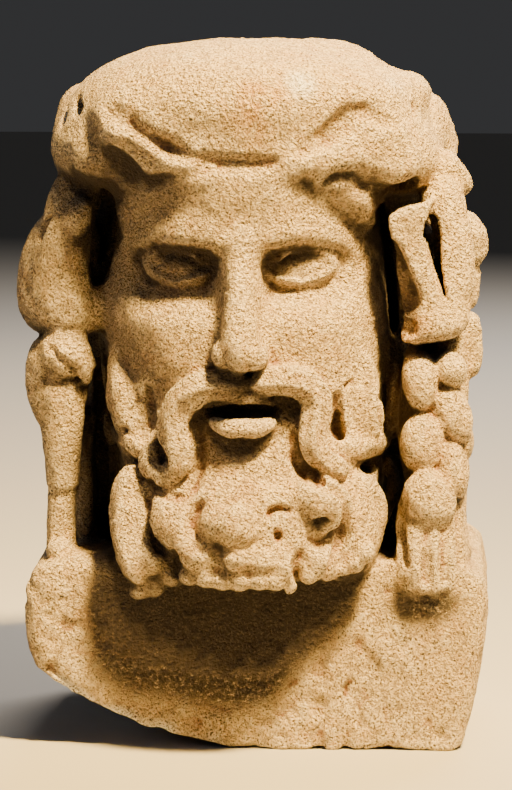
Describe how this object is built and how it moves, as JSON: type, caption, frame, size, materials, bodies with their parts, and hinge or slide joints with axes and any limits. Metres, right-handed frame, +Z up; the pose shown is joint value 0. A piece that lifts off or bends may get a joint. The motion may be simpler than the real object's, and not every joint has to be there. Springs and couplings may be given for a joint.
{
  "type": "roman herm",
  "caption": "Small marble herm bust: a bearded head with bound hair and side tresses on a square shaft block with one broken lower corner.",
  "frame": {"origin": "middle of the bed, the flat underside that the block stands on", "axes": "+Z up, -Y the way the face looks, +X to the viewer's right"},
  "size_m": [0.1629, 0.1495, 0.24],
  "materials": {
    "marble": "worn, crystalline, pitted, with a warm brown patina"
  },
  "bodies": {
    "root": {"herm": "marble"}
  },
  "joints": []
}
